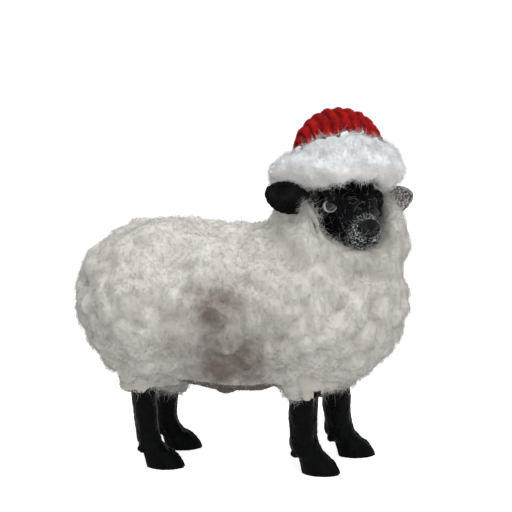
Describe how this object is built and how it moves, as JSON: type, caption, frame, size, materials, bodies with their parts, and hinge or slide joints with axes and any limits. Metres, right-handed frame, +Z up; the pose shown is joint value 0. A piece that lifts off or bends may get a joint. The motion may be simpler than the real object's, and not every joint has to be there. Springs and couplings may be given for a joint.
{
  "type": "sheep figurine",
  "caption": "Standing black-faced sheep ornament with curly wool fleece, head turned to one side, wearing a red ribbed winter hat with a white fur trim.",
  "frame": {"origin": "on the ground, under the middle of the whole figurine", "axes": "+X the way the body faces, +Y the sheep's left side, +Z up"},
  "size_m": [0.1726, 0.0886, 0.1817],
  "materials": {
    "pulp_core": "moulded pulp, matte",
    "belly_pile": "short dark pile",
    "fleece": "curly wool in locks",
    "topknot_wool": "long brushed wool",
    "hat_fur": "bluish white fur",
    "hat_knit": "ribbed red plush knit",
    "wadding": "loose filling",
    "black_resin": "satin black paint on cast resin",
    "grey_resin": "dark resin with wool caught on it",
    "eye": "polished",
    "beech": "turned dowel",
    "pin_steel": "plain steel rod"
  },
  "bodies": {
    "root": {"belly_panel": "belly_pile", "body_core": "pulp_core", "chest_fleece": "fleece", "ear_left": "grey_resin", "ear_right": "black_resin", "eye_left": "eye", "eye_right": "eye", "flank_fleece_left": "fleece", "flank_fleece_right": "fleece", "hat_crown": "hat_knit", "hat_trim": "hat_fur", "hat_wadding": "wadding", "head": "black_resin", "leg_front_left": "black_resin", "leg_front_right": "black_resin", "leg_pin_front_left": "pin_steel", "leg_pin_front_right": "pin_steel", "leg_pin_rear_left": "pin_steel", "leg_pin_rear_right": "pin_steel", "leg_rear_left": "black_resin", "leg_rear_right": "black_resin", "neck_dowel": "beech", "neck_fleece": "fleece", "tail_fleece": "fleece", "topknot_fleece": "topknot_wool", "wool_cuff_front_left": "fleece", "wool_cuff_front_right": "fleece", "wool_cuff_rear_left": "fleece", "wool_cuff_rear_right": "fleece"}
  },
  "joints": []
}
